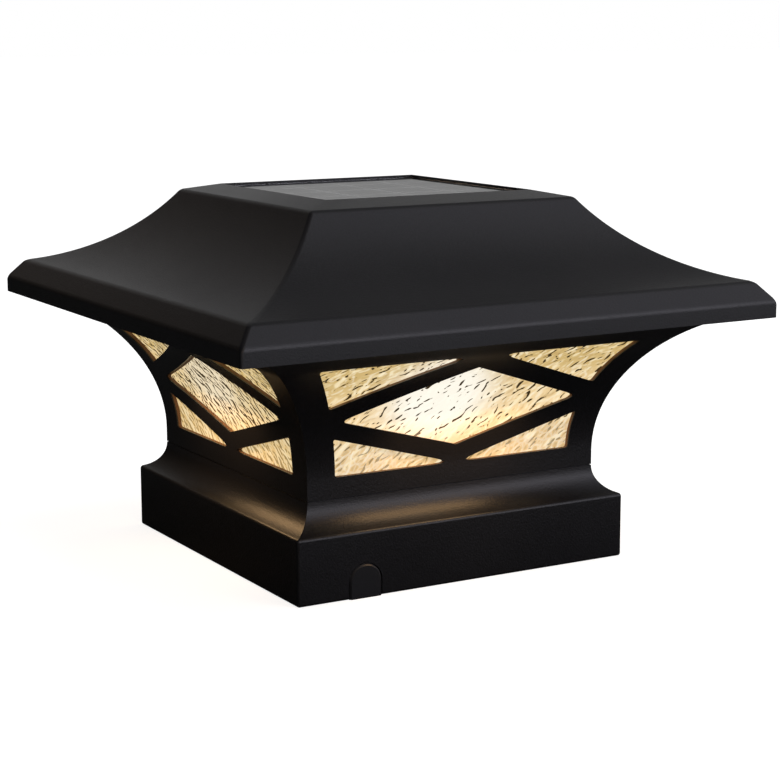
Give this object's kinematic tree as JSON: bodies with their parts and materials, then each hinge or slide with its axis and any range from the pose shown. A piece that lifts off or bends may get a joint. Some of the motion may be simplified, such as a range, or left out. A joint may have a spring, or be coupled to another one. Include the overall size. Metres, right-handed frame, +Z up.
{
  "type": "deck post cap light",
  "caption": "Square solar cap light for a deck post: flared roof with a panel on top, lattice lantern with hammered panes, and a skirt that slips over the post.",
  "frame": {"origin": "centre of the skirt's bottom edge, on the axis of the post", "axes": "+Z up along the post, +X to the right of the face with the nearer screw cover, that face towards -Y"},
  "size_m": [0.2322, 0.2322, 0.1481],
  "materials": {
    "powder_coat": "satin black powder coat on cast aluminium",
    "cover_plastic": "satin black",
    "pane_glass": "hammered",
    "screw_steel": "zinc plated",
    "panel_glass": "clear",
    "silicon": "dark blue silicon",
    "circuit_board": "solder mask",
    "foam_rubber": "matt",
    "white_plastic": "moulded",
    "cell_sleeve": "plain sleeve",
    "contact_plate": "nickel plated",
    "black_epoxy": "moulded",
    "emitter": "phosphor",
    "diffuser": "frosted",
    "lead_sleeve": "smooth"
  },
  "bodies": {
    "light": {"base_collar": "powder_coat", "lantern_frame": "powder_coat", "frame_screws": "screw_steel", "pane_front": "pane_glass", "pane_right": "pane_glass", "pane_back": "pane_glass", "pane_left": "pane_glass", "pane_strips": "powder_coat", "strip_screws": "screw_steel", "roof_shell": "powder_coat", "roof_screws": "screw_steel", "solar_glass": "panel_glass", "solar_cells": "silicon", "panel_backing": "circuit_board", "panel_seal": "foam_rubber", "ceiling_plate": "white_plastic", "module_housing": "white_plastic", "housing_seal": "foam_rubber", "module_screws": "screw_steel", "battery_cells": "cell_sleeve", "battery_contacts": "contact_plate", "door_hinge_pin": "screw_steel", "control_board": "circuit_board", "board_parts": "black_epoxy", "board_screws": "screw_steel", "led_board": "circuit_board", "led_emitters": "emitter", "led_diffuser": "diffuser", "power_switch": "black_epoxy", "panel_leads": "lead_sleeve", "battery_leads": "lead_sleeve", "led_leads": "lead_sleeve", "lead_grommet": "foam_rubber"},
    "door": {"battery_door": "white_plastic"},
    "slider": {"switch_slider": "white_plastic"},
    "cover_front": {"screw_cover_front": "cover_plastic"},
    "cover_back": {"screw_cover_back": "cover_plastic"}
  },
  "joints": [
    {"name": "battery_door_hinge", "type": "hinge", "parent": "light", "child": "door", "pos_m": [0, 0.0419, 0.1031], "axis": [1, 0, 0], "range_deg": [0, 100]},
    {"name": "power_switch_slide", "type": "slide", "parent": "light", "child": "slider", "axis": [1, 0, 0], "range_m": [0, 0.003]},
    {"name": "screw_cover_front_slide", "type": "slide", "parent": "light", "child": "cover_front", "axis": [0, 0, -1], "range_m": [0, 0.0105]},
    {"name": "screw_cover_back_slide", "type": "slide", "parent": "light", "child": "cover_back", "axis": [0, 0, -1], "range_m": [0, 0.0105]}
  ]
}
